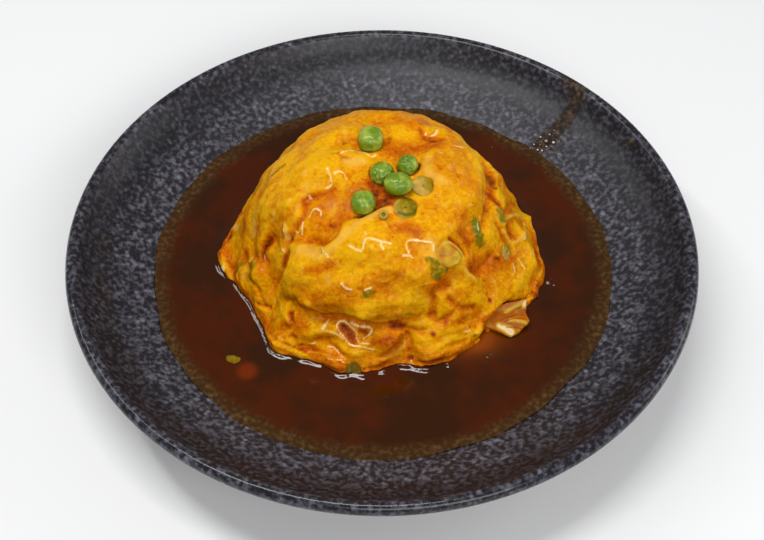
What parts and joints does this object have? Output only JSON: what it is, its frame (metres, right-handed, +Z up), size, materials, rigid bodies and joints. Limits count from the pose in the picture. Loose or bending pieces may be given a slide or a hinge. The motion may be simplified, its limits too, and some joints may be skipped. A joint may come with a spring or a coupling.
{
  "type": "crab omelette over rice",
  "caption": "Soft omelette draped over a mound of rice in a pool of brown sauce, topped with peas, spring onion and crab, on a round footed stoneware plate.",
  "frame": {"origin": "centre of the plate's foot ring, on the table", "axes": "+Z up; +X to the right and +Y to the back as the dish is served, with the omelette's front flap facing -Y"},
  "size_m": [0.2398, 0.2398, 0.0772],
  "materials": {
    "stoneware": "charcoal glaze with fine pale speckles, semi-gloss",
    "brown_sauce": "dark brown thickened sauce, wet gloss",
    "egg": "soft cooked egg, yellow to orange, glazed with sauce",
    "pea": "boiled green pea, satin",
    "spring_onion": "cooked onion, olive to pale green, wet",
    "crab_meat": "flaked crab, cream stained with sauce, wet"
  },
  "bodies": {
    "root": {"plate": "stoneware", "sauce": "brown_sauce", "omelette": "egg", "pea_1": "pea", "pea_2": "pea", "pea_3": "pea", "pea_4": "pea", "pea_5": "pea", "onion_slice_1": "spring_onion", "onion_slice_2": "spring_onion", "onion_slice_3": "spring_onion", "onion_slice_4": "spring_onion", "crab_chunk": "crab_meat", "crab_flake": "crab_meat", "floating_onion": "spring_onion"}
  },
  "joints": []
}
